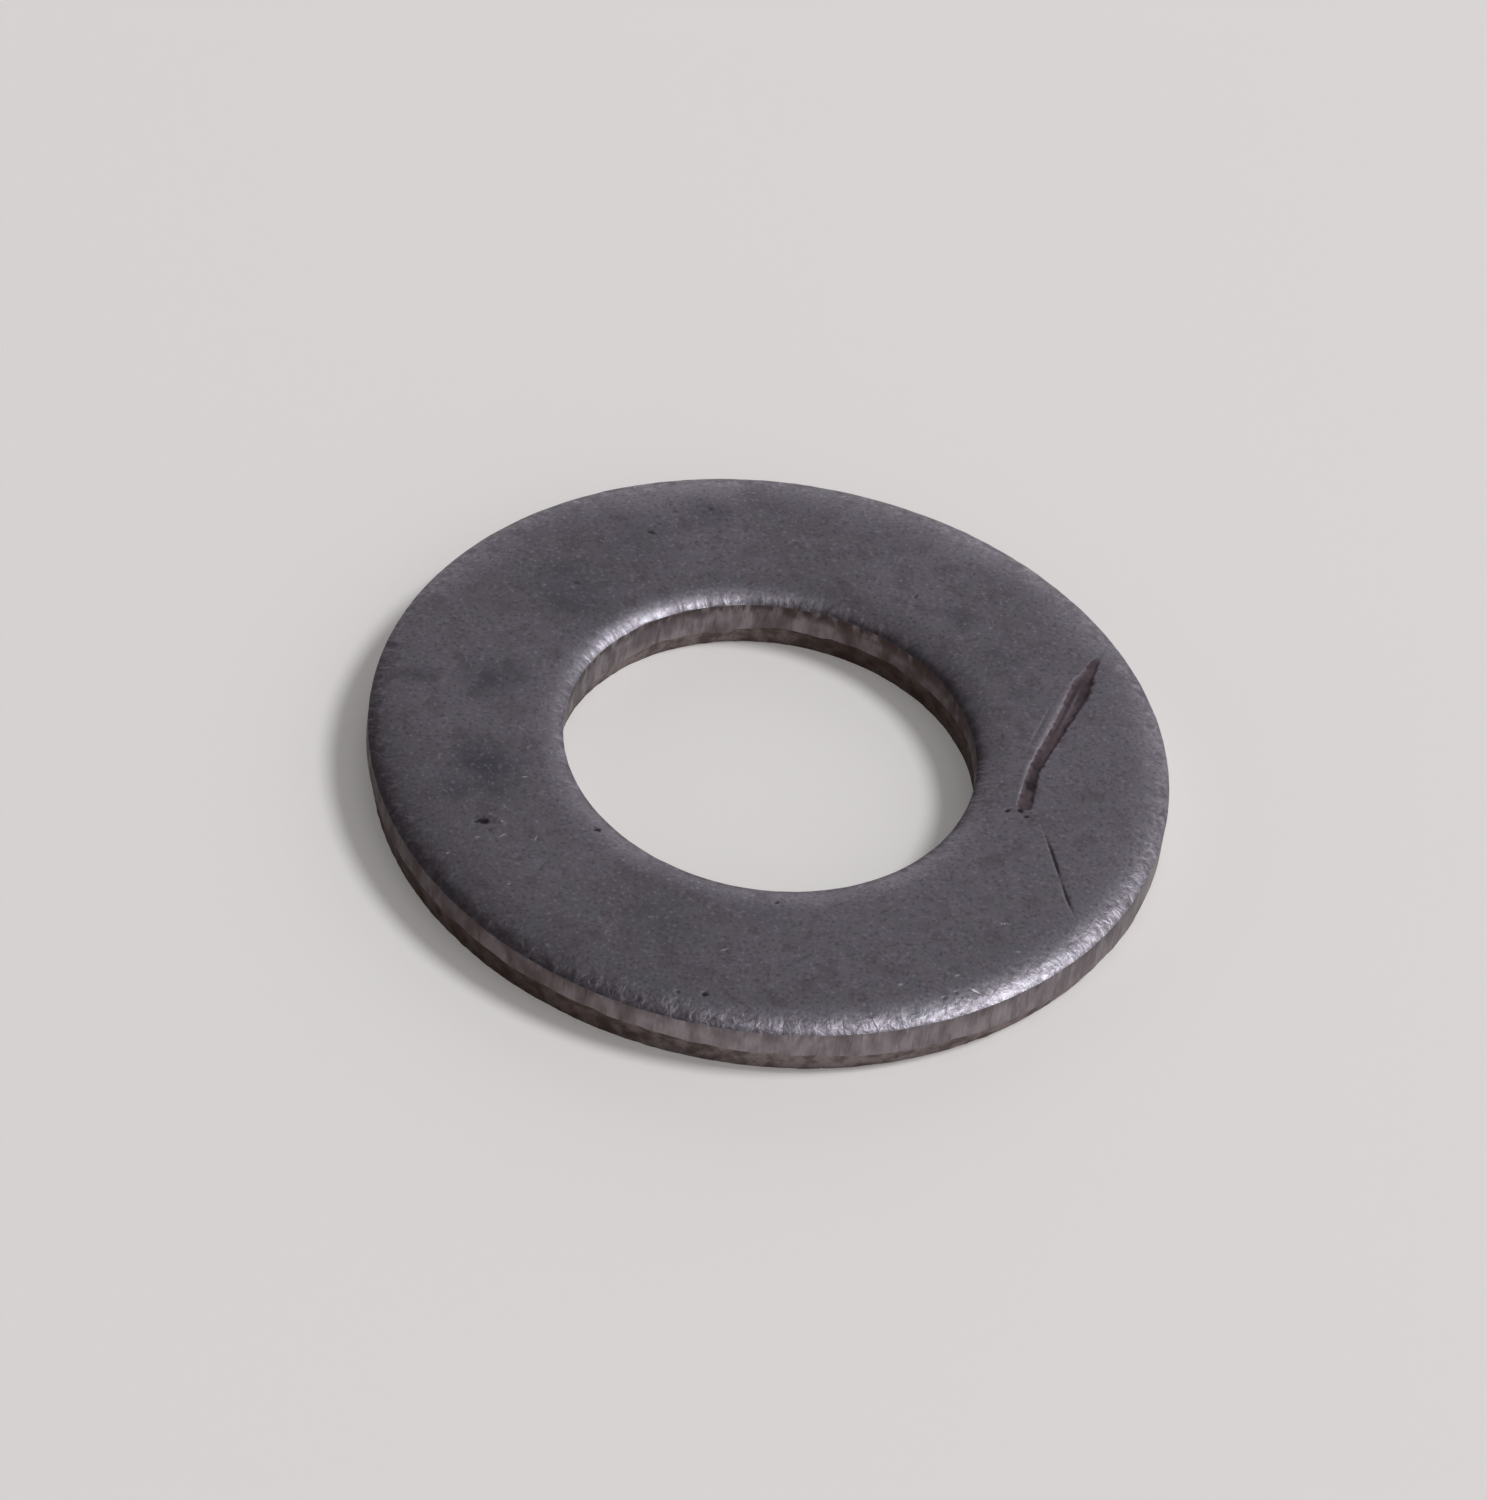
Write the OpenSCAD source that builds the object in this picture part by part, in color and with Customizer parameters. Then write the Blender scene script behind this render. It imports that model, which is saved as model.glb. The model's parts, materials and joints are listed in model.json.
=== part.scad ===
// Flat washer, narrow pattern for a 3/8 inch bolt, punched from steel strip.
//
// The washer lies on its burr side: +Z is up through the bore, and the origin is
// the centre of the bottom face. Blank and bore are punched from one strip by a
// compound die, so the rolled edges of both lie on the top face. Down each
// punched wall come a rolled edge, a smooth sheared band and a rough torn band,
// which leans away from the sheared band towards the bottom face.

/* [Washer] */
// Outside diameter, over the sheared band
outside_d = 20.6; // [18:0.1:26]
// Bore diameter, in the sheared band
bore_d = 10.6; // [8:0.1:13]
// Thickness of the strip
thickness = 1.65; // [1.35:0.05:3]

/* [Rolled edges] */
// How far in from the rim the top face starts to roll down
rim_roll_w = 0.72; // [0.5:0.02:1]
// How far the top face has rolled down where it meets the rim
rim_roll_h = 0.29; // [0.1:0.01:0.4]
// How far out from the bore the top face starts to roll down
bore_roll_w = 0.72; // [0.5:0.02:1]
// How far the top face has rolled down where it meets the bore
bore_roll_h = 0.29; // [0.1:0.01:0.4]

/* [Punched walls] */
// Height of the sheared band of the rim
rim_sheared_h = 0.76; // [0.4:0.02:0.8]
// Height of the sheared band of the bore
bore_sheared_h = 0.7; // [0.4:0.02:0.8]
// How far the torn band of the rim leans in by the bottom face
rim_lean = 0.18; // [0.05:0.01:0.3]
// How far the torn band of the bore leans out by the bottom face
bore_lean = 0.11; // [0.05:0.01:0.3]

/* [Hidden] */

rim_r = outside_d / 2;
bore_r = bore_d / 2;
// The cutters pass this far beyond the strip
cut_past = 0.5;
$fn = 180;

// Radius of the arc that leaves a flat face smoothly and falls h in a width w.
function roll_r(w, h) = (w * w + h * h) / (2 * h);

// Half section of the punched blank, before its edges are rolled.
module blank_section() {
    rim_torn_h = thickness - rim_roll_h - rim_sheared_h;
    bore_torn_h = thickness - bore_roll_h - bore_sheared_h;
    polygon([
        [bore_r + bore_lean, 0],
        [rim_r - rim_lean, 0],
        [rim_r, rim_torn_h],
        [rim_r, thickness],
        [bore_r, thickness],
        [bore_r, bore_torn_h]
    ]);
}

// What a roll of width w and height h takes off, to the right of its start.
module roll_cutter(w, h) {
    translate([0, -roll_r(w, h)])
        difference() {
            square([w + cut_past, roll_r(w, h) + cut_past]);
            circle(r = roll_r(w, h));
        }
}

// The half section of the finished washer.
module washer_section() {
    difference() {
        blank_section();
        translate([rim_r - rim_roll_w, thickness])
            roll_cutter(rim_roll_w, rim_roll_h);
        translate([bore_r + bore_roll_w, thickness])
            mirror([1, 0])
                roll_cutter(bore_roll_w, bore_roll_h);
    }
}

module washer() {
    color("#6f6a70")
        rotate_extrude()
            washer_section();
}

washer();
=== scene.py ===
import json
import math

import bmesh
import bpy
import numpy as np
from mathutils import Matrix, Vector, noise


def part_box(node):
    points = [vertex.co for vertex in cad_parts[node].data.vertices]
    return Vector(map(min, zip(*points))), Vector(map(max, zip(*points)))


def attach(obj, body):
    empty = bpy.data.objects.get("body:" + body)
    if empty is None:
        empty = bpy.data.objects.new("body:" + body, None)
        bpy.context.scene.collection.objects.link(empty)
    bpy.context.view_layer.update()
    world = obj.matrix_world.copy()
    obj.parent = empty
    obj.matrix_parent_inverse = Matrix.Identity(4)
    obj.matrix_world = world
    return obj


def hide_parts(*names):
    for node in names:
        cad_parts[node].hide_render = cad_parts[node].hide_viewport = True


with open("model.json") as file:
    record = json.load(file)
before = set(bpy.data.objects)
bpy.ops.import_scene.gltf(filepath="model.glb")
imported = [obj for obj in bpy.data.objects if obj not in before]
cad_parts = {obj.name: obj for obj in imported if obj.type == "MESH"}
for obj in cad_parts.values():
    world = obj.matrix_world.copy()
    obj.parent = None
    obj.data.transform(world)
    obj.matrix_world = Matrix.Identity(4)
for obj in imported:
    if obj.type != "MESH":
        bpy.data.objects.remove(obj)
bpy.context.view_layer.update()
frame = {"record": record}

# The washer is one ring of steel, punched from strip by a compound die. The CAD solid gives
# its sizes, and this script rebuilds it as one closed mesh with what the die and the years
# left on it: rolled edges with stretch marks, a sheared band and a torn band down each
# punched wall, a deep gouge, a scratch, pits and nicks. Lengths are in millimetres and angles
# in degrees until the mesh is scaled, with azimuths from +X towards +Y.

MM = 0.001
SEED = 11

# ---- Sizes ----------------------------------------------------------------------------------

# From the CAD solid and its bore mount

low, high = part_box("washer")
bore_mount = next(m for m in frame["record"]["mounts"] if m["name"] == "bore")
RIM_R = round((high.x - low.x) / 2 / MM, 1)
THICKNESS = round((high.z - low.z) / MM, 2)
BORE_R = bore_mount["dims"]["r_mm"]
BORE_SHEARED_H = bore_mount["dims"]["length_mm"]

# The height of the rim's sheared band, and how far each torn band leans back at the bottom
RIM_SHEARED_H = 0.76
RIM_LEAN = 0.18
BORE_LEAN = 0.11

# The rolled edges: how far each reaches in from its wall, how far it drops there, how sharply
# it bends down towards the wall, and the drop of the small round that turns it into the wall
RIM_ROLL = (1.90, 0.305, 4.0, 0.010)
BORE_ROLL = (1.80, 0.250, 5.2, 0.003)
CORNER_W = 0.12
# How far the top face falls away gently towards the rim, as part of the drop there, and the
# radius from which it does
DISH = 0.05
DISH_FROM = 7.2
# How far inside the solid's wall each wall's mean line lies, for its relief to stay within it
WALL_INSET = 0.009

# ---- The mesh's grid ----------------------------------------------------------------------

AROUND = 920
# Rows across each zone of the section, in the order of the walk round it
ROWS = {
    "bottom": 6,
    "rim_torn": 8,
    "rim_sheared": 7,
    "rim_roll": 20,
    "top": 11,
    "bore_roll": 20,
    "bore_sheared": 7,
    "bore_torn": 7,
}
SLOTS = ["strip", "sheared", "torn"]
ZONE_SLOT = {
    "bottom": "strip",
    "rim_torn": "torn",
    "rim_sheared": "sheared",
    "rim_roll": "strip",
    "top": "strip",
    "bore_roll": "strip",
    "bore_sheared": "sheared",
    "bore_torn": "torn",
}
# How strongly a band's rows crowd towards its crisp edge
CROWD = 1.7
# Cells near a mark are cut this many times each way
MARK_CUTS = 2
# The marks and both rolled edges lie no deeper than this below the face
TOP_DEPTH = 0.36

# ---- Relief of each surface ---------------------------------------------------------------

# Towards which azimuth each wall's split between its bands rises, and by how much
RIM_SPLIT_RISE = (-160, 0.24)
BORE_SPLIT_RISE = (-25, 0.22)
# How high each band's relief stands
TORN_RELIEF = 0.05
DRAG_RELIEF = 0.010
STRETCH_RELIEF = 0.008
# The layers of those reliefs: rows of cells over the band, size of a cell, and the layer's share
TORN_LUMPS = (3, 0.42, 0.6)
TORN_GRAIN = (5, 0.15, 0.3)
TORN_SWELLS = (1, 0.25, 0.3)
DRAG_LINES = (1, 0.15, 0.55)
DRAG_BANDS = (2, 0.40, 0.45)
STRETCH_MARKS = (9, 0.24, 0.6)
STRETCH_FOLDS = (5, 0.45, 0.4)
# How much of its relief the torn band already has at the bottom
TORN_FOOT = 0.15
# Slow sways round the ring, as their height and how many cells they have: of a wall in and out,
# and of its upper corner up and down
WALL_SWAY = (0.006, 7)
CORNER_SWAY = (0.012, 9)
# The quick steps on top of them: rows, size of a cell, and height
WALL_JITTER = (1, 0.20, 0.003)
CORNER_JITTER = (1, 0.50, 0.007)
SPLIT_STEPS = (1, 1.40, 0.050)
SPLIT_TEETH = (1, 0.35, 0.035)
FOOT_JITTER = (1, 0.25, 0.010)
# How hollow the top and the bottom face are, and the cells of the top's hollows across and round
TOP_HOLLOW = 0.003
TOP_CELLS = (3, 18)
BOTTOM_HOLLOW = 0.010
# How far the edges of a ripple's cells are shifted round the ring, as a share of a cell
UNEVEN = 0.7

# ---- Marks on the top face: (x, y) in mm from the bore's centre ----------------------------

# The gouge's line, with its width and depth at each point
GOUGE = [
    (8.16, 5.25, 0.06, 0.000),
    (8.00, 4.80, 0.20, 0.025),
    (7.86, 4.28, 0.30, 0.035),
    (7.76, 3.98, 0.44, 0.050),
    (7.67, 3.50, 0.48, 0.055),
    (7.48, 2.75, 0.38, 0.045),
    (7.24, 1.95, 0.33, 0.045),
    (6.98, 1.10, 0.30, 0.045),
    (6.77, 0.40, 0.26, 0.050),
    (6.70, -0.20, 0.30, 0.055),
    (6.63, -1.02, 0.34, 0.035),
]
# A ridge that the cutting edge left standing along the gouge's floor
GOUGE_RIDGE = [
    (7.70, 3.80, 0.06, -0.006),
    (7.58, 3.30, 0.14, -0.018),
    (7.38, 2.50, 0.14, -0.018),
    (7.20, 1.90, 0.08, -0.006),
]
# Metal that the gouge pushed up beside it, on the bore's side, rubbed a little brighter
GOUGE_LIP = [
    (7.46, 4.10, 0.10, -0.006),
    (7.28, 3.30, 0.20, -0.026),
    (7.02, 2.30, 0.22, -0.028),
    (6.75, 1.30, 0.20, -0.026),
    (6.52, 0.40, 0.16, -0.020),
    (6.42, -0.50, 0.14, -0.016),
    (6.34, -1.00, 0.10, -0.004),
]
# A shallow groove that runs beside that lip
GOUGE_TWIN = [
    (7.20, 3.50, 0.08, 0.004),
    (6.94, 2.60, 0.16, 0.014),
    (6.68, 1.60, 0.18, 0.018),
    (6.44, 0.70, 0.10, 0.004),
]
SCRATCH = [
    (6.96, -1.20, 0.05, 0.001),
    (7.18, -1.90, 0.06, 0.004),
    (7.40, -2.45, 0.09, 0.013),
    (7.60, -3.05, 0.10, 0.017),
    (7.74, -3.50, 0.06, 0.008),
    (7.96, -4.15, 0.10, 0.016),
    (8.24, -4.85, 0.05, 0.002),
]
# Pits: x, y, length, width, turn in degrees, depth
PITS = [
    (-6.82, -4.60, 0.60, 0.42, 12, 0.05),
    (-6.62, -4.95, 0.34, 0.24, 60, 0.02),
    (-3.99, -4.26, 0.26, 0.22, 0, 0.05),
    (-3.94, 7.14, 0.34, 0.20, -20, 0.03),
    (-3.44, 8.07, 0.28, 0.20, 0, 0.02),
    (-2.50, 8.40, 0.32, 0.20, 20, 0.02),
    (-5.63, 4.72, 0.36, 0.20, -10, 0.02),
    (3.16, 6.25, 0.30, 0.12, 70, 0.03),
    (-0.66, -9.45, 0.34, 0.20, 10, 0.04),
    (-1.35, -9.50, 0.20, 0.14, 0, 0.03),
    (5.22, -8.24, 0.20, 0.13, 40, 0.03),
    (5.48, -8.02, 0.16, 0.11, 40, 0.03),
    (0.76, -5.91, 0.22, 0.12, 50, 0.03),
    (6.20, -1.30, 0.24, 0.16, 30, 0.04),
    (6.52, -1.24, 0.34, 0.18, -30, 0.04),
    (6.70, -1.42, 0.24, 0.16, 20, 0.04),
    (6.28, -1.62, 0.16, 0.12, 0, 0.02),
]
# Bright nicks: x, y, length, width, turn in degrees, depth
NICKS = [
    (6.46, -5.41, 0.38, 0.07, 8, 0.010),
    (5.46, -7.47, 0.32, 0.07, 24, 0.010),
    (5.98, -7.84, 0.40, 0.08, -12, 0.012),
    (4.10, -8.10, 0.24, 0.06, 20, 0.008),
    (6.90, -6.30, 0.20, 0.06, 0, 0.008),
    (-0.36, -7.86, 0.40, 0.06, 32, 0.008),
    (-6.00, -2.80, 0.28, 0.06, 20, 0.006),
    (-7.55, -5.90, 0.12, 0.10, 0, 0.006),
    (-5.90, -6.70, 0.12, 0.09, 0, 0.006),
    (-6.36, -4.52, 0.34, 0.05, -35, 0.004),
    (-6.28, -5.02, 0.40, 0.05, 50, 0.004),
    (-6.90, -5.22, 0.26, 0.05, 20, 0.004),
    (-5.45, -4.95, 0.34, 0.05, 75, 0.004),
]
# Where a cut's side begins and ends, and a round dent's, as a share of the mark's half width
CUT_SIDE = (1.22, 0.72)
DENT_SIDE = (1.10, 0.0)
# How far the gouge's outline strays, how rough its floor is, and the grain of both
GOUGE_STRAY = 0.24
GOUGE_TEARS = 0.012
GOUGE_GRAIN = 0.16
# Where the crust in the gouge ends and is full, outward and in depth
CRUST_SIDE = (1.35, 0.95)
CRUST_DEPTH = (0.0, 0.03)
# Where the dirt on the gouge's sides and in its deepest parts starts and is full, the grain and
# edge of its blots, and how much dirt lies on the sides, in the blots and in the deepest parts
SIDES = (0.45, 0.85)
DEEPEST = (0.045, 0.053)
BLOT_GRAIN = 0.30
BLOT_EDGE = (-0.10, 0.25)
GOUGE_DIRT = (0.30, 0.30, 0.45)
# Depths over which a raised ridge, a shallow groove and a scratch show more and more
RAISED = (0.0, -0.02)
SUNK = (0.0, 0.02)
SCRATCHED = (0.0, 0.015)
# How much of its oxide the ridge has lost, how bright the lip is rubbed, and how much dirt lies
# in the groove beside it and in the scratch
RIDGE_RUBBED = 0.5
LIP_SHINE = 0.22
TWIN_DIRT = 0.35
SCRATCH_DIRT = 0.8
# How far a pit's outline strays and its grain, how much of its depth is pressed into the mesh,
# how far out its dirt reaches, and the depth at which the dirt is full
PIT_STRAY = 0.45
PIT_GRAIN = 0.12
PIT_PRESSED = 0.6
PIT_DIRT_SIDE = (1.4, 0.0)
PIT_FULL_DEPTH = 0.04
# How much wider than a mark its finer grid is
CUT_MARGIN = 0.24
SPOT_MARGIN = 0.20
# Stains: x, y, radius, strength
STAINS = [
    (-7.10, -2.50, 1.60, 0.8),
    (-6.70, -3.30, 1.30, 0.5),
    (-7.70, -3.50, 1.10, 0.5),
    (-7.30, 0.70, 1.60, 0.6),
    (-9.20, 0.40, 0.70, 0.5),
    (-5.60, 4.40, 2.20, 0.5),
    (-4.20, 6.80, 2.00, 0.4),
    (-2.60, 8.20, 1.20, 0.5),
    (5.60, 4.20, 1.30, 0.3),
    (4.40, 5.60, 1.10, 0.3),
    (6.20, 3.10, 0.55, 0.5),
    (0.60, -6.30, 1.20, 0.3),
    (-2.00, -7.20, 2.20, 0.25),
]
# Painted shade on the walls, on the sides that face away from the key: on the bore's wall or
# not, azimuth of its middle, reach, strength
WALL_SHADE = [
    (False, -145, 78, 0.88),
    (True, 30, 110, 1.0),
]
# Depth below the face at which the painted shade starts on a rolled edge, and where it is full
SHADE_DEPTH = (0.05, 0.26)


# ---- Colours, light and camera -------------------------------------------------------------

STRIP_LIGHT = "#928e97"
STRIP_DARK = "#838088"
STRIP_DULL = "#78747c"
STRIP_COOL = "#84898f"
STAIN_COLOUR = "#5c5f68"
GRAIN_DARK = "#6a666d"
GRAIN_LIGHT = "#bdbac6"
OXIDE_COLOUR = "#6c6066"
DIRT_COLOUR = "#3b3538"
BRIGHT_COLOUR = "#dcdae0"
SHEARED_LIGHT = "#9b9396"
SHEARED_DARK = "#857d80"
SHEARED_GLINT = "#bdb5b8"
# Dark dashes and dark grain, and also the painted shade on the walls and rolled edges
DASH_AND_SHADE_COLOUR = "#4b3f40"
TORN_LIGHT = "#978b8b"
TORN_DARK = "#6f6463"
# Dark brown of the painted shade on the walls
SHADE_COLOUR = "#46362d"
EDGE_TINT = "#dadada"
FLOOR_COLOUR = "#f4f3f1"
FLOOR_GLOW = 0.13
FLOOR_HALF_M = 2.0
FLOOR_Z = -0.01

# Azimuths of the scuffs, and how their coordinates are squashed along them
SCUFF_TURNS = (25, -50)
SCUFF_STRETCH = 0.14
# Heights between which the dark dashes under the rolled edges fade in, going up: marks on the
# bore's wall, and painted shade on the rim's wall and under the shaded side of the bore's lip
LIP_DASHES = (1.00, 1.30)
# Depth below the face at which stretch marks start to show, and at which they show fully
ROLLED = (0.03, 0.21)

# The key softbox: azimuth and elevation, distance and width in metres, radiance
KEY = (9.7, 56.0, 1.2, 0.38, 17.8)
# Soft glows of the room: azimuth, elevation, reach, how far the middle is even, radiance there
GLOWS = [
    (-7, 83, 24, 0, 0.90),
    (46, -8, 68, 0, 0.60),
    (90, 0, 43, 31, 0.70),
    (125, 50, 32, 0, 0.20),
    (8, 30, 34, 10, 0.25),
    (-60, 8, 62, 30, 0.50),
    (-165, 8, 42, 12, 0.50),
]
ROOM_TINT = (1.07, 1.0, 1.03)
ROOM_FLOOR = 0.01

CAMERA_ELEVATION = 43.2
CAMERA_DISTANCE = 206.0
CAMERA_TURN = 8.8
# How far the camera looks past the washer's centre, across and upward, in mm
CAMERA_AIM = (0.53, 0.90)
SENSOR_W = 36.0
FOCAL_LENGTH = 194.5


# ---- Numbers ------------------------------------------------------------------------------


def smooth(t):
    """0 to 1 with a gentle start and end."""
    t = np.clip(t, 0, 1)
    return t * t * (3 - 2 * t)


def rise(value, start, full):
    """0 to 1 with a gentle start and end, as a value goes from its start to where it is full."""
    return smooth((value - start) / (full - start))


def cells(radius, size):
    """How many cells of that size, in mm, go round a circle."""
    return round(2 * math.pi * radius / size)


def ripple(rng, across, around, rows, count):
    """Smooth random heights in -1..1, in uneven cells that close on themselves round the ring."""
    lattice = rng.uniform(-1, 1, (rows + 1, count))
    posts = (np.arange(count) + rng.uniform(0, UNEVEN, count)) / count
    lattice = np.concatenate([lattice[:, -1:], lattice, lattice[:, :1]], axis=1)
    posts = np.concatenate([posts[-1:] - 1, posts, posts[:1] + 1])
    row = np.minimum(np.floor(across * rows).astype(int), rows - 1)
    cell = np.searchsorted(posts, around, side="right") - 1
    up = smooth(across * rows - row)
    along = smooth((around - posts[cell]) / (posts[cell + 1] - posts[cell]))
    near = lattice[row, cell] * (1 - along) + lattice[row, cell + 1] * along
    far = lattice[row + 1, cell] * (1 - along) + lattice[row + 1, cell + 1] * along
    return near * (1 - up) + far * up


def layer(rng, across, around, radius, rows, size, share):
    """One layer of a relief, as its rows, the size of its cells round the ring and its share."""
    return share * ripple(rng, across, around, rows, cells(radius, size))


def sway(rng, around, height, count):
    """Slow random waves round the ring, of that height and so many cells."""
    return height * ripple(rng, 0 * around, around, 1, count)


def walk(zone, down=False):
    """A zone's rows as a column of shares of the way over it, going up from 0 or down from 1."""
    steps = np.arange(ROWS[zone])[:, None] / ROWS[zone]
    return 1 - steps if down else steps


# ---- The ring's section -------------------------------------------------------------------


def torn_band(rng, way, around, radius, lean, split):
    """(how far the wall stands back, z): coarse broken grain that leans back towards the bottom."""
    t = 1 - (1 - way) ** CROWD
    lumps = np.abs(layer(rng, t, around, radius, *TORN_LUMPS))
    grain = layer(rng, t, around, radius, *TORN_GRAIN)
    swells = layer(rng, 0 * t, around, radius, *TORN_SWELLS)
    rough = TORN_RELIEF * (lumps + grain + swells)
    return lean * (1 - t) + rough * np.sin(math.pi * (TORN_FOOT + (1 - TORN_FOOT) * t)), split * t


def sheared_band(rng, way, around, radius, split, corner):
    """(how far the wall stands back, z): fine lines dragged up and down the wall by the punch."""
    t = smooth(way)
    lines = layer(rng, t, around, radius, *DRAG_LINES)
    bands = layer(rng, t, around, radius, *DRAG_BANDS)
    drag = DRAG_RELIEF * (1 + lines + bands)
    return drag * np.sin(math.pi * t) ** 0.5, split + (corner - split) * t


def dished(radius):
    """How far the top face lies below its flat inner part, where the die drew it down."""
    return DISH * np.clip((radius - DISH_FROM) / (RIM_R - DISH_FROM), 0, 1) ** 2


def rolled_edge(rng, way, around, radius, roll, corner):
    """(distance in from the wall, z): the roll, with the stretch marks of the strip on it."""
    reach, drop, bend, corner_drop = roll
    t = way**CROWD
    marks = layer(rng, t, around, radius, *STRETCH_MARKS)
    folds = layer(rng, t, around, radius, *STRETCH_FOLDS)
    stretch = STRETCH_RELIEF * (marks + folds)
    settle = (corner - (THICKNESS - drop - corner_drop) + stretch) * (1 - t) ** 2
    sharp = drop - dished(radius)
    fall = sharp * (1 - t) ** bend + corner_drop * np.clip(1 - reach * t / CORNER_W, 0, 1) ** 2
    return reach * t + 0 * around, THICKNESS - fall + settle


def wall_edges(rng, around, radius, roll, sheared_h, split_rise):
    """How far one punched wall wanders, its corner's height and its split's, all round it.
    The punch sat a little off centre, so the split rises towards one side."""
    _, drop, _, corner_drop = roll
    level = 0 * around
    wander = sway(rng, around, *WALL_SWAY) + layer(rng, level, around, radius, *WALL_JITTER)
    corner = THICKNESS - drop - corner_drop + sway(rng, around, *CORNER_SWAY)
    corner = corner + layer(rng, level, around, radius, *CORNER_JITTER)
    toward, height = split_rise
    split = corner - sheared_h + height * np.cos(2 * math.pi * around - math.radians(toward))
    split = split + layer(rng, level, around, radius, *SPLIT_STEPS)
    split = split + layer(rng, level, around, radius, *SPLIT_TEETH)
    return wander, corner, split


def ring_rows():
    """Every row of the ring as (zone, radius, z) arrays, walked round its section."""
    rng = np.random.default_rng(SEED)
    around = np.arange(AROUND)[None, :] / AROUND

    edges = wall_edges(rng, around, RIM_R, RIM_ROLL, RIM_SHEARED_H, RIM_SPLIT_RISE)
    wander, corner, split = edges
    rim = RIM_R - WALL_INSET + wander
    torn_back, torn_z = torn_band(rng, walk("rim_torn"), around, RIM_R, RIM_LEAN, split)
    drag_back, drag_z = sheared_band(rng, walk("rim_sheared"), around, RIM_R, split, corner)
    roll_in, roll_z = rolled_edge(rng, walk("rim_roll"), around, RIM_R, RIM_ROLL, corner)
    rim_foot = rim - torn_back[:1]
    rim_zones = [
        ("rim_torn", rim - torn_back, torn_z),
        ("rim_sheared", rim - drag_back, drag_z),
        ("rim_roll", rim - roll_in, roll_z - dished(rim - roll_in)),
    ]

    edges = wall_edges(rng, around, BORE_R, BORE_ROLL, BORE_SHEARED_H, BORE_SPLIT_RISE)
    wander, corner, split = edges
    bore = BORE_R + WALL_INSET + wander
    way = walk("bore_roll", down=True)
    roll_in, roll_z = rolled_edge(rng, way, around, BORE_R, BORE_ROLL, corner)
    way = walk("bore_sheared", down=True)
    drag_back, drag_z = sheared_band(rng, way, around, BORE_R, split, corner)
    way = walk("bore_torn", down=True)
    torn_back, torn_z = torn_band(rng, way, around, BORE_R, BORE_LEAN, split)
    bore_foot = bore + BORE_LEAN + layer(rng, 0 * around, around, BORE_R, *FOOT_JITTER)
    bore_zones = [
        ("bore_roll", bore + roll_in, roll_z),
        ("bore_sheared", bore + drag_back, drag_z),
        ("bore_torn", bore + torn_back, torn_z),
    ]

    t = smooth(walk("bottom"))
    hollow = BOTTOM_HOLLOW * np.sin(math.pi * t)
    bottom = ("bottom", bore_foot + (rim_foot - bore_foot) * t, hollow + 0 * around)
    t = walk("top")
    hollow = TOP_HOLLOW * (1 + ripple(rng, t, around, *TOP_CELLS)) * np.sin(math.pi * t)
    top_r = (rim - RIM_ROLL[0]) * (1 - t) + (bore + BORE_ROLL[0]) * t
    top = ("top", top_r, THICKNESS - hollow - dished(top_r))
    return [bottom, *rim_zones, top, *bore_zones]


def ring_mesh():
    """The closed grid of the ring, in mm, with a material slot for each zone."""
    zones = ring_rows()
    radius = np.concatenate([r for _, r, _ in zones])
    height = np.concatenate([z for _, _, z in zones])
    angle = 2 * math.pi * np.arange(AROUND) / AROUND
    points = np.stack([radius * np.cos(angle), radius * np.sin(angle), height], -1).reshape(-1, 3)

    rows = len(radius)
    row, col = np.meshgrid(np.arange(rows), np.arange(AROUND), indexing="ij")
    up, right = (row + 1) % rows, (col + 1) % AROUND
    corners = [row * AROUND + col, row * AROUND + right, up * AROUND + right, up * AROUND + col]
    quads = np.stack(corners, -1)
    mesh = bpy.data.meshes.new("punched_ring")
    mesh.from_pydata(points.tolist(), [], quads.reshape(-1, 4).tolist())
    slot_of_row = np.concatenate([[SLOTS.index(ZONE_SLOT[zone])] * len(r) for zone, r, _ in zones])
    mesh.polygons.foreach_set("material_index", np.repeat(slot_of_row, AROUND).astype(np.int32))
    return mesh


# ---- Marks on the top face ----------------------------------------------------------------


def along_line(points, line):
    """For each point, how far it is from a line of (x, y, width, depth), over half the line's
    width there, and the depth there. A value over 1 is outside the mark."""
    best = np.full(len(points), np.inf)
    depth = np.zeros(len(points))
    for start, end in zip(np.array(line), np.array(line)[1:]):
        step = end[:2] - start[:2]
        share = np.clip((points - start[:2]) @ step / (step @ step), 0, 1)
        here = start + share[:, None] * (end - start)
        off = np.hypot(*(points - here[:, :2]).T) / (here[:, 2] / 2)
        nearer = off < best
        best = np.where(nearer, off, best)
        depth = np.where(nearer, here[:, 3], depth)
    return best, depth


def in_spot(points, spot):
    """For each point, how far it is from an oval's centre, over the oval's own half size there."""
    x, y, length, width, turn, _ = spot
    c, s = math.cos(math.radians(turn)), math.sin(math.radians(turn))
    dx, dy = points[:, 0] - x, points[:, 1] - y
    return np.hypot((c * dx + s * dy) / (length / 2), (c * dy - s * dx) / (width / 2))


def rough_edge(points, size):
    """Small random steps that break up the outline of a mark, with that grain in mm."""
    return np.array([noise.noise(Vector((x / size, y / size, 0))) for x, y in points])


def groove(off):
    """A cut with a flat floor and steep sides, 1 inside and 0 outside."""
    return rise(off, *CUT_SIDE)


def dent(off):
    """A round hollow, 1 at its middle and 0 outside."""
    return rise(off, *DENT_SIDE)


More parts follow.
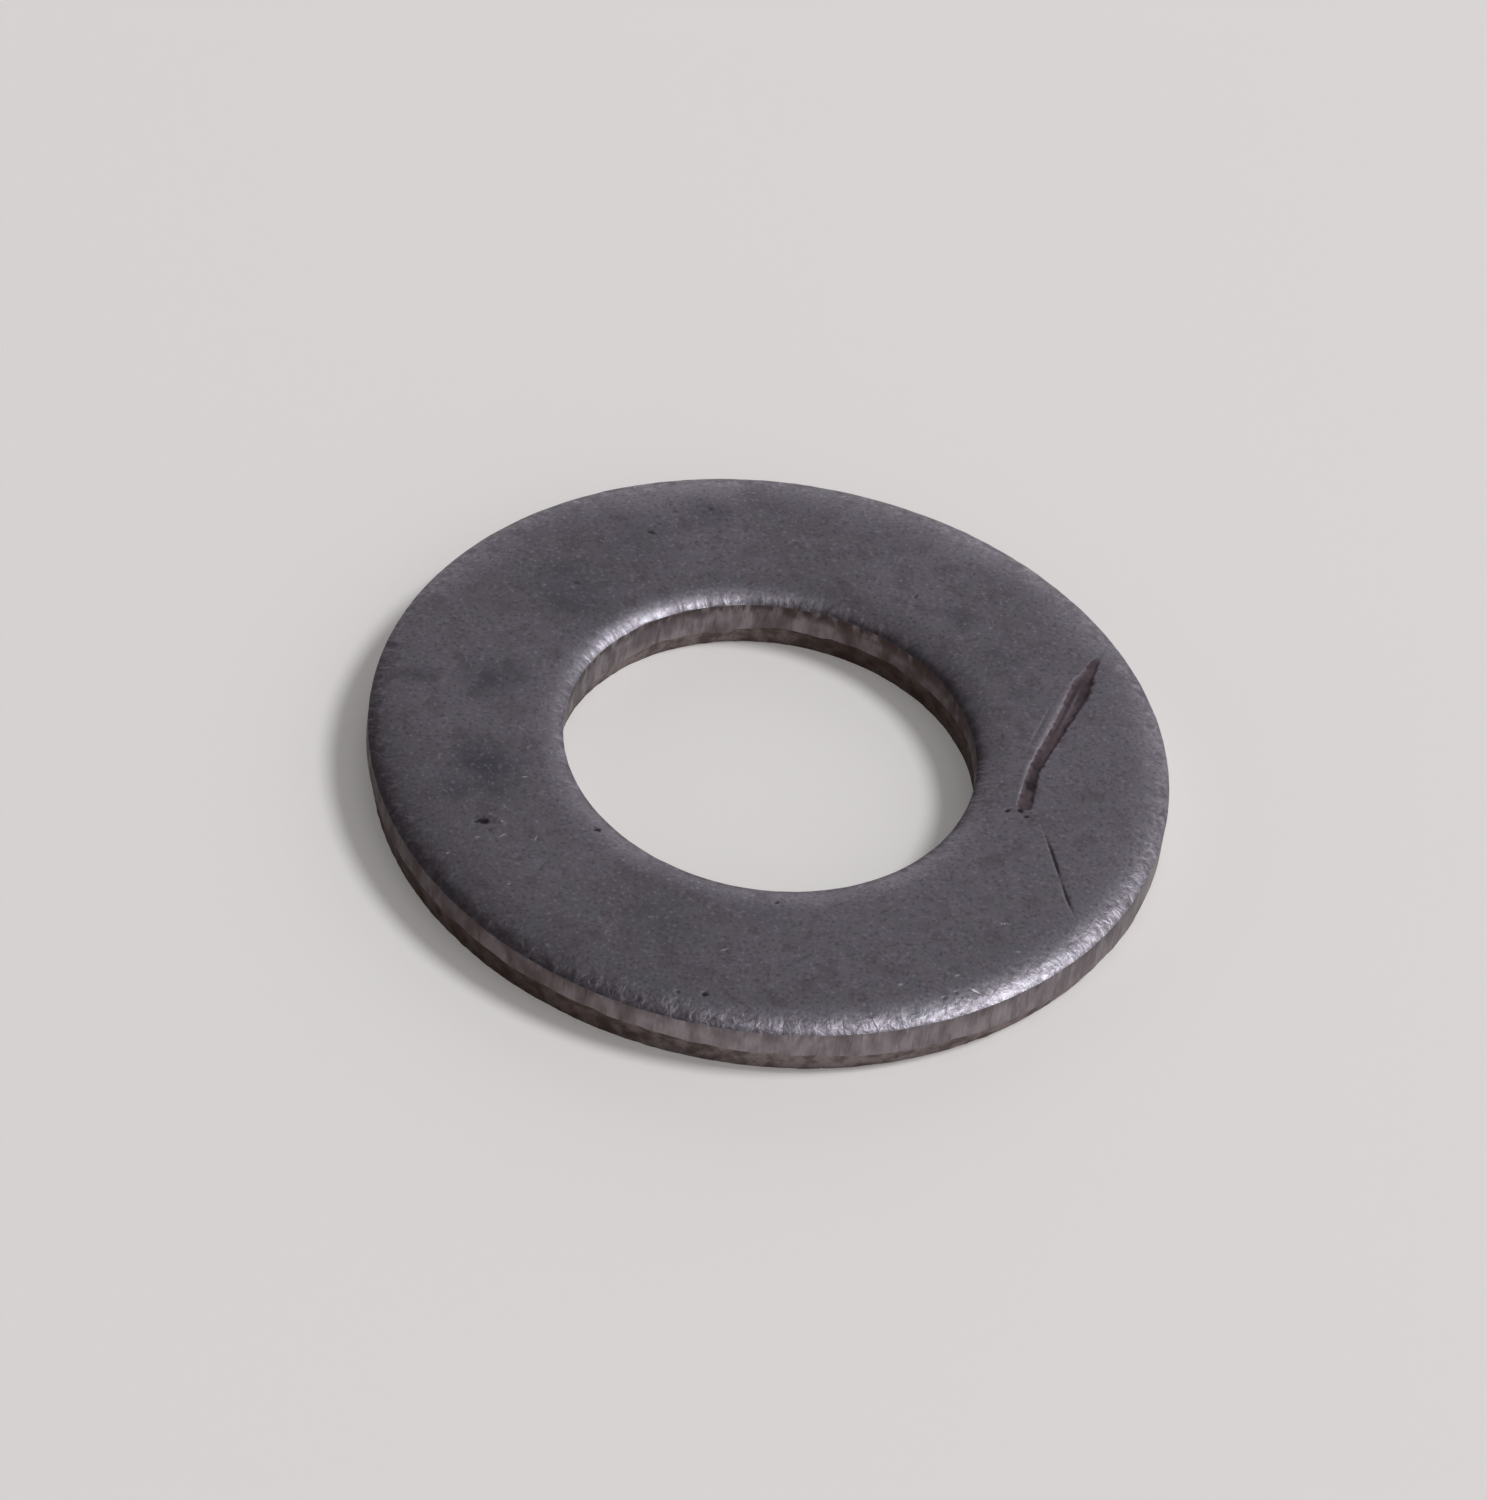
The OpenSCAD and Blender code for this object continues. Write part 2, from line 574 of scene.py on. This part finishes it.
def mark_depths(points):
    """How deep each point lies below the face, and how much each finish covers it."""
    off, depth = along_line(points, GOUGE)
    rough = rough_edge(points, GOUGE_GRAIN)
    off = off + GOUGE_STRAY * rough
    cut = groove(off)
    fall = cut * (depth + GOUGE_TEARS * rough)
    crust = rise(off, *CRUST_SIDE) * rise(depth, *CRUST_DEPTH)
    sides = rise(off, *SIDES)
    deepest = rise(depth, *DEEPEST) * (1 - sides)
    blots = rise(rough_edge(points, BLOT_GRAIN), *BLOT_EDGE)
    dirt = sum(most * where for most, where in zip(GOUGE_DIRT, (sides, blots, deepest)))
    off, depth = along_line(points, GOUGE_RIDGE)
    fall = fall + depth * dent(off)
    ridge = dent(off) * rise(depth, *RAISED)
    cover = {"dirt": crust * dirt * (1 - ridge), "oxide": crust * (1 - RIDGE_RUBBED * ridge)}
    off, depth = along_line(points, GOUGE_LIP)
    fall = fall + depth * dent(off) * (1 - cut)
    cover["bright"] = LIP_SHINE * dent(off) * rise(depth, *RAISED) * (1 - crust)
    off, depth = along_line(points, GOUGE_TWIN)
    fall = fall + depth * dent(off) * (1 - cut)
    caught = TWIN_DIRT * dent(off) * rise(depth, *SUNK) * (1 - cut)
    cover["dirt"] = np.maximum(cover["dirt"], caught)
    off, depth = along_line(points, SCRATCH)
    fall = fall + depth * groove(off)
    caught = SCRATCH_DIRT * groove(off) * rise(depth, *SCRATCHED)
    cover["dirt"] = np.maximum(cover["dirt"], caught)
    for spot in PITS:
        off = in_spot(points, spot) + PIT_STRAY * rough_edge(points, PIT_GRAIN)
        fall = fall + PIT_PRESSED * spot[-1] * dent(off)
        caught = rise(off, *PIT_DIRT_SIDE) * min(1, spot[-1] / PIT_FULL_DEPTH)
        cover["dirt"] = np.maximum(cover["dirt"], caught)
    for spot in NICKS:
        off = in_spot(points, spot)
        fall = fall + spot[-1] * dent(off)
        cover["bright"] = np.maximum(cover["bright"], dent(off))
    cover["stain"] = np.zeros(len(points))
    for x, y, radius, strength in STAINS:
        off = np.hypot(points[:, 0] - x, points[:, 1] - y) / radius
        cover["stain"] = np.maximum(cover["stain"], strength * rise(off, 1, 0))
    return fall, cover


def near_marks(points):
    """Whether each point is close enough to a mark to need the finer grid."""
    close = np.zeros(len(points), bool)
    for line in (GOUGE, GOUGE_LIP, GOUGE_TWIN, SCRATCH):
        off, _ = along_line(points, [(x, y, w + CUT_MARGIN, d) for x, y, w, d in line])
        close |= off < 1
    for x, y, length, width, turn, depth in PITS + NICKS:
        wider = (x, y, length + SPOT_MARGIN, width + SPOT_MARGIN, turn, depth)
        close |= in_spot(points, wider) < 1
    return close


def on_top(points):
    return points[:, 2] > THICKNESS - TOP_DEPTH


def vertex_points(mesh):
    points = np.empty(len(mesh.vertices) * 3)
    mesh.vertices.foreach_get("co", points)
    return points.reshape(-1, 3)


def cut_finer(mesh):
    """Cuts the cells of the top face finer where the marks are, and makes the edges crisp
    where one finish meets another."""
    points = vertex_points(mesh)
    close = near_marks(points[:, :2]) & on_top(points)
    shape = bmesh.new()
    shape.from_mesh(mesh)
    edges = [e for e in shape.edges if close[e.verts[0].index] and close[e.verts[1].index]]
    bmesh.ops.subdivide_edges(shape, edges=edges, cuts=MARK_CUTS, use_grid_fill=True)
    for face in shape.faces:
        face.smooth = True
    for edge in shape.edges:
        first, second = edge.link_faces
        edge.smooth = first.material_index == second.material_index
    shape.to_mesh(mesh)
    shape.free()


def wall_shade(points):
    """How much painted shade lies on the walls, rolled edges and bottom, away from the key."""
    angle = np.degrees(np.arctan2(points[:, 1], points[:, 0]))
    in_bore = np.hypot(points[:, 0], points[:, 1]) < (RIM_R + BORE_R) / 2
    low = rise(THICKNESS - points[:, 2], *SHADE_DEPTH)
    grime = np.zeros(len(points))
    for inside, toward, reach, strength in WALL_SHADE:
        off = np.abs((angle - toward + 180) % 360 - 180) / reach
        grime = np.where(in_bore == inside, strength * low * rise(off, 1, 0), grime)
    return grime


def press_marks(mesh):
    """Presses the marks into the top face and stores where each finish and the painted shade show.
    """
    points = vertex_points(mesh)
    top = on_top(points)
    # Painted shade on the walls, rolled edges and bottom, stored as an attribute beside the
    # finishes
    grime = wall_shade(points)
    fall, cover = mark_depths(points[top, :2])
    cover["rolled"] = rise(THICKNESS - points[top, 2], *ROLLED)
    points[top, 2] -= fall
    mesh.vertices.foreach_set("co", points.reshape(-1))
    finishes_and_shade = {"grime": grime}
    for name, amount in cover.items():
        finishes_and_shade[name] = np.zeros(len(points))
        finishes_and_shade[name][top] = amount
    for name, values in finishes_and_shade.items():
        attribute = mesh.attributes.new(name, "FLOAT", "POINT")
        attribute.data.foreach_set("value", values.astype(np.float32))


# ---- Finishes -----------------------------------------------------------------------------


def linear(code):
    """An sRGB hex colour as the linear RGBA that a shader takes."""
    parts = [int(code[i : i + 2], 16) / 255 for i in (1, 3, 5)]
    return [p / 12.92 if p <= 0.04045 else ((p + 0.055) / 1.055) ** 2.4 for p in parts] + [1.0]


def per_mm(size):
    """The scale that gives a pattern that grain size, over coordinates in metres."""
    return 1 / (size * MM)


def add(tree, kind, inputs=(), output=0, **settings):
    """Adds a node of that kind with its settings, links or sets its inputs by place or by name,
    and gives its output."""
    made = tree.nodes.new("ShaderNode" + kind)
    for name, value in settings.items():
        setattr(made, name, value)
    pairs = inputs.items() if isinstance(inputs, dict) else enumerate(inputs)
    for key, value in pairs:
        if isinstance(value, bpy.types.NodeSocket):
            tree.links.new(value, made.inputs[key])
        else:
            made.inputs[key].default_value = value
    return made.outputs[output] if made.outputs else None


def new_finish(name):
    material = bpy.data.materials.new(name)
    material.use_nodes = True
    material.node_tree.nodes.clear()
    return material, material.node_tree


def ring_place(tree, squash):
    """Coordinates that run round the ring with no seam, true to length at each wall, and are
    squashed across it, so that a pattern on them is drawn out towards the bore or down a wall."""
    place = add(tree, "TexCoord", output="Object")
    flat = add(tree, "VectorMath", (place, (1, 1, 0)), operation="MULTIPLY")
    out = add(tree, "VectorMath", (flat,), "Value", operation="LENGTH")
    faces = ((BORE_R + BORE_ROLL[0]) * MM, (RIM_R - RIM_ROLL[0]) * MM)
    walls = (BORE_R * MM, RIM_R * MM)
    radius = add(tree, "MapRange", (out, *faces, *walls))
    unit = add(tree, "VectorMath", (flat,), operation="NORMALIZE")
    around = add(tree, "VectorMath", {0: unit, "Scale": radius}, operation="SCALE")
    height = add(tree, "SeparateXYZ", (place,), "Z")
    across = add(tree, "Math", (height, out), operation="SUBTRACT")
    across = add(tree, "Math", (across, squash), operation="MULTIPLY")
    lift = add(tree, "CombineXYZ", {"Z": across})
    return add(tree, "VectorMath", (around, lift), operation="ADD")


def lay_coats(tree, under, coats):
    """One colour with coats laid over it in turn. Each coat is its colour, the pattern that it
    follows, the pattern's values where it starts and where it is full, how much it covers
    there, and any masks."""
    colour = linear(under)
    for over, pattern, start, full, most, *masks in coats:
        reach = (pattern, start, full, 0.0, most)
        amount = add(tree, "MapRange", reach, interpolation_type="SMOOTHSTEP")
        for mask in masks:
            amount = add(tree, "Math", (amount, mask), operation="MULTIPLY")
        colour = add(tree, "Mix", {0: amount, 6: colour, 7: linear(over)}, 2, data_type="RGBA")
    return colour


def metal_shader(tree, colour, roughness, height, depth):
    """Bare metal with that colour and roughness, and a relief of so many mm. Its sheen at a
    grazing view is dulled a little by the film of oil and oxide."""
    relief = {"Height": height, "Distance": depth * MM, "Strength": 1.0}
    inputs = {
        "Metallic": 1.0,
        "Base Color": colour,
        "Roughness": roughness,
        "Specular Tint": linear(EDGE_TINT),
        "Normal": add(tree, "Bump", relief),
    }
    metal = add(tree, "BsdfPrincipled", inputs)
    add(tree, "OutputMaterial", {"Surface": metal})


def rolled_strip_finish():
    """Cold-rolled mild steel strip, left bare under a thin dark film of oil and oxide.
    A dull dark metal with a purple cast: broad soft highlights that break into fine radial
    streaks over the rolled edges, a faint blue-grey mottle, and dark dirt in every mark."""
    material, tree = new_finish("cold_rolled_steel_strip")
    place = add(tree, "TexCoord", output="Object")
    grain = add(tree, "TexNoise", {"Vector": place, "Scale": per_mm(0.10), "Detail": 4.0})
    patch = add(tree, "TexNoise", {"Vector": place, "Scale": per_mm(0.60), "Detail": 5.0})
    cloud = add(tree, "TexNoise", {"Vector": place, "Scale": per_mm(3.2), "Detail": 5.0})
    drawn = ring_place(tree, 0.70)
    inputs = {"Vector": drawn, "Scale": per_mm(0.24), "Detail": 4.0, "Distortion": 0.5}
    streak = add(tree, "TexNoise", inputs)
    scuffs = []
    for turn in SCUFF_TURNS:
        inputs = {"Vector": place, "Rotation": (0, 0, math.radians(turn))}
        inputs["Scale"] = (1, SCUFF_STRETCH, 1)
        along = add(tree, "Mapping", inputs)
        inputs = {"Vector": along, "Scale": per_mm(0.09), "Detail": 1.0}
        scuffs.append(add(tree, "TexNoise", inputs))
    rolled, stain, oxide, dirt, bright, grime = (
        add(tree, "Attribute", output="Fac", attribute_name=name)
        for name in ("rolled", "stain", "oxide", "dirt", "bright", "grime")
    )
    colour = lay_coats(tree, STRIP_DARK, [
        (STRIP_LIGHT, cloud, 0.34, 0.66, 1.0),
        (STRIP_DULL, patch, 0.50, 0.70, 0.65),
        (STRIP_COOL, patch, 0.48, 0.30, 0.6),
        (STAIN_COLOUR, stain, 0.0, 1.0, 0.62),
        (STAIN_COLOUR, patch, 0.34, 0.62, 0.6, stain),
        (GRAIN_DARK, grain, 0.48, 0.30, 0.68),
        (GRAIN_LIGHT, grain, 0.56, 0.76, 0.55),
        (GRAIN_LIGHT, scuffs[0], 0.75, 0.81, 0.22),
        (GRAIN_LIGHT, scuffs[1], 0.75, 0.81, 0.22),
        (GRAIN_DARK, streak, 0.50, 0.34, 0.6, rolled),
        (GRAIN_LIGHT, streak, 0.54, 0.70, 0.45, rolled),
        # Painted shade on the rolled edges and the bottom beside the walls that face away from the
        # key
        (DASH_AND_SHADE_COLOUR, grime, 0.0, 1.0, 0.55),
        (OXIDE_COLOUR, oxide, 0.0, 0.9, 0.95),
        (DIRT_COLOUR, dirt, 0.0, 1.0, 1.0),
        (BRIGHT_COLOUR, bright, 0.0, 1.0, 1.0),
    ])
    filth = add(tree, "Math", (oxide, dirt), operation="MAXIMUM")
    rough = add(tree, "MapRange", (cloud, 0.3, 0.7, 0.47, 0.42))
    rough = add(tree, "Math", (filth, 0.22, rough), operation="MULTIPLY_ADD")
    streaks = add(tree, "Math", (streak, rolled), operation="MULTIPLY")
    height = add(tree, "Math", (streaks, 8.0, grain), operation="MULTIPLY_ADD")
    metal_shader(tree, colour, rough, height, 0.0035)
    return material


def sheared_finish():
    """Steel wiped smooth by the punch as it passed. Warmer and cleaner than the face, with
    fine dark and light lines that run straight down the wall."""
    material, tree = new_finish("die_sheared_steel")
    place = add(tree, "TexCoord", output="Object")
    height = add(tree, "SeparateXYZ", (place,), "Z")
    out = add(tree, "VectorMath", (place,), "Value", operation="LENGTH")
    drawn = ring_place(tree, 0.16)
    fine = add(tree, "TexNoise", {"Vector": drawn, "Scale": per_mm(0.10), "Detail": 3.0})
    drawn = ring_place(tree, 0.50)
    broad = add(tree, "TexNoise", {"Vector": drawn, "Scale": per_mm(0.45), "Detail": 5.0})
    drawn = ring_place(tree, 0.40)
    dash = add(tree, "TexNoise", {"Vector": drawn, "Scale": per_mm(0.26), "Detail": 3.0})
    in_bore = add(tree, "MapRange", (out, RIM_R * MM, BORE_R * MM, 0.0, 1.0))
    heights = (LIP_DASHES[0] * MM, LIP_DASHES[1] * MM)
    near_lip = add(tree, "MapRange", (height, *heights, 0.0, 1.0))
    # The painted shade on the walls that face away from the key, and how much of it darkens the lip
    grime = add(tree, "Attribute", output="Fac", attribute_name="grime")
    lip_shade = add(tree, "MapRange", (grime, 0.05, 0.5, 0.0, 1.0))
    colour = lay_coats(tree, SHEARED_DARK, [
        (SHEARED_LIGHT, broad, 0.36, 0.62, 1.0),
        (DASH_AND_SHADE_COLOUR, fine, 0.46, 0.28, 0.35),
        (SHEARED_GLINT, fine, 0.56, 0.74, 0.3),
        (DASH_AND_SHADE_COLOUR, broad, 0.62, 0.38, 0.24, in_bore),
        # Dark dashes along the top of both walls: marks on the bore's wall, painted shade on the
        # rim's
        (DASH_AND_SHADE_COLOUR, dash, 0.62, 0.46, 0.35, near_lip),
        (DASH_AND_SHADE_COLOUR, dash, 0.58, 0.45, 0.65, near_lip, in_bore),
        # More dark dashes under the bore's lip where it faces away from the key: painted shade
        (DASH_AND_SHADE_COLOUR, dash, 0.68, 0.42, 1.0, near_lip, in_bore, lip_shade),
        # Painted shade, dark and blotched with brown, on the walls that face away from the key
        (DASH_AND_SHADE_COLOUR, grime, 0.0, 1.0, 0.68),
        (SHADE_COLOUR, broad, 0.70, 0.30, 0.6, grime),
    ])
    rough = add(tree, "MapRange", (broad, 0.3, 0.7, 0.52, 0.42))
    metal_shader(tree, colour, rough, fine, 0.005)
    return material


def torn_finish():
    """Steel torn apart ahead of the punch, with rust and dust caught in the grain.
    The roughest surface, a mottled grey, with dark brown painted shade away from the key."""
    material, tree = new_finish("torn_steel")
    place = add(tree, "TexCoord", output="Object")
    lumps = add(tree, "TexNoise", {"Vector": place, "Scale": per_mm(0.45), "Detail": 4.0})
    grain = add(tree, "TexNoise", {"Vector": place, "Scale": per_mm(0.08), "Detail": 3.0})
    grime = add(tree, "Attribute", output="Fac", attribute_name="grime")
    colour = lay_coats(tree, TORN_DARK, [
        (TORN_LIGHT, lumps, 0.36, 0.60, 1.0),
        (DASH_AND_SHADE_COLOUR, grain, 0.46, 0.30, 0.5),
        (SHEARED_GLINT, grain, 0.62, 0.76, 0.4),
        # Painted shade, dark brown, where the wall faces away from the key
        (SHADE_COLOUR, grime, 0.0, 0.8, 0.75),
        (SHADE_COLOUR, lumps, 0.70, 0.30, 0.8, grime),
    ])
    metal_shader(tree, colour, 0.60, grain, 0.012)
    return material


def build_washer():
    mesh = ring_mesh()
    cut_finer(mesh)
    press_marks(mesh)
    mesh.transform(Matrix.Scale(MM, 4))
    for finish in (rolled_strip_finish(), sheared_finish(), torn_finish()):
        mesh.materials.append(finish)
    washer = bpy.data.objects.new("punched_washer", mesh)
    bpy.context.scene.collection.objects.link(washer)
    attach(washer, "root")
    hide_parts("washer")
    return washer


# ---- Floor, light and camera --------------------------------------------------------------


def build_floor():
    """A plain pale floor of matt paper. A little glow of its own stands in for the light that
    the rest of a room would throw on it."""
    mesh = bpy.data.meshes.new("pale_floor")
    signs = ((-1, -1), (1, -1), (1, 1), (-1, 1))
    corners = [(x * FLOOR_HALF_M, y * FLOOR_HALF_M, FLOOR_Z * MM) for x, y in signs]
    mesh.from_pydata(corners, [], [(0, 1, 2, 3)])
    material, tree = new_finish("matt_paper")
    inputs = {
        "Base Color": linear(FLOOR_COLOUR),
        "Roughness": 0.9,
        "Emission Color": linear(FLOOR_COLOUR),
        "Emission Strength": FLOOR_GLOW,
    }
    paper = add(tree, "BsdfPrincipled", inputs)
    add(tree, "OutputMaterial", {"Surface": paper})
    mesh.materials.append(material)
    floor = bpy.data.objects.new("pale_floor", mesh)
    bpy.context.scene.collection.objects.link(floor)


def direction(azimuth, elevation):
    """The way towards a point in the sky."""
    a, e = math.radians(azimuth), math.radians(elevation)
    return Vector((math.cos(e) * math.cos(a), math.cos(e) * math.sin(a), math.sin(e)))


def build_key():
    """One round softbox, with the power that gives its disk that radiance."""
    azimuth, elevation, distance, width, radiance = KEY
    light = bpy.data.lights.new("key_softbox", "AREA")
    light.shape = "DISK"
    light.size = width
    light.energy = radiance * math.pi * math.pi * (width / 2) ** 2
    softbox = bpy.data.objects.new("key_softbox", light)
    softbox.location = direction(azimuth, elevation) * distance
    softbox.rotation_euler = direction(azimuth, elevation).to_track_quat("Z", "Y").to_euler()
    bpy.context.scene.collection.objects.link(softbox)


def build_room():
    """A dim room with a few soft glows, so that the metal has something to reflect."""
    world = bpy.data.worlds.new("studio_room")
    bpy.context.scene.world = world
    world.use_nodes = True
    tree = world.node_tree
    look = add(tree, "TexCoord", output="Generated")
    total = ROOM_FLOOR
    for azimuth, elevation, reach, even, radiance in GLOWS:
        middle = direction(azimuth, elevation)
        toward = add(tree, "VectorMath", (look, middle), "Value", operation="DOT_PRODUCT")
        angle = add(tree, "Math", (toward,), operation="ARCCOSINE")
        fade = (angle, math.radians(reach), math.radians(even), 0.0, radiance)
        glow = add(tree, "MapRange", fade, interpolation_type="SMOOTHSTEP")
        total = add(tree, "Math", (total, glow), operation="ADD")
    colour = add(tree, "VectorMath", (total, ROOM_TINT), operation="MULTIPLY")
    background = tree.nodes["Background"]
    tree.links.new(colour, background.inputs["Color"])


def build_camera():
    """A long lens from in front and above, turned a little on its own axis."""
    eye = direction(-90, CAMERA_ELEVATION) * CAMERA_DISTANCE * MM
    ahead = -eye.normalized()
    right = ahead.cross(Vector((0, 0, 1))).normalized()
    above = right.cross(ahead)
    turn = math.radians(CAMERA_TURN)
    across = right * math.cos(turn) + above * math.sin(turn)
    upward = above * math.cos(turn) - right * math.sin(turn)
    aim = (upward * CAMERA_AIM[1] - across * CAMERA_AIM[0]) * MM
    back = (eye - aim).normalized()
    across = upward.cross(back).normalized()
    upward = back.cross(across)
    lens = bpy.data.cameras.new("long_lens")
    lens.sensor_fit = "HORIZONTAL"
    lens.sensor_width = SENSOR_W
    lens.lens = FOCAL_LENGTH
    lens.clip_start = 0.01
    camera = bpy.data.objects.new("camera", lens)
    turned = Matrix((across, upward, back)).transposed().to_4x4()
    camera.matrix_world = Matrix.Translation(eye) @ turned
    bpy.context.scene.collection.objects.link(camera)
    bpy.context.scene.camera = camera


build_camera()
build_key()
build_room()
build_floor()
build_washer()
bpy.context.scene.view_settings.view_transform = "Standard"
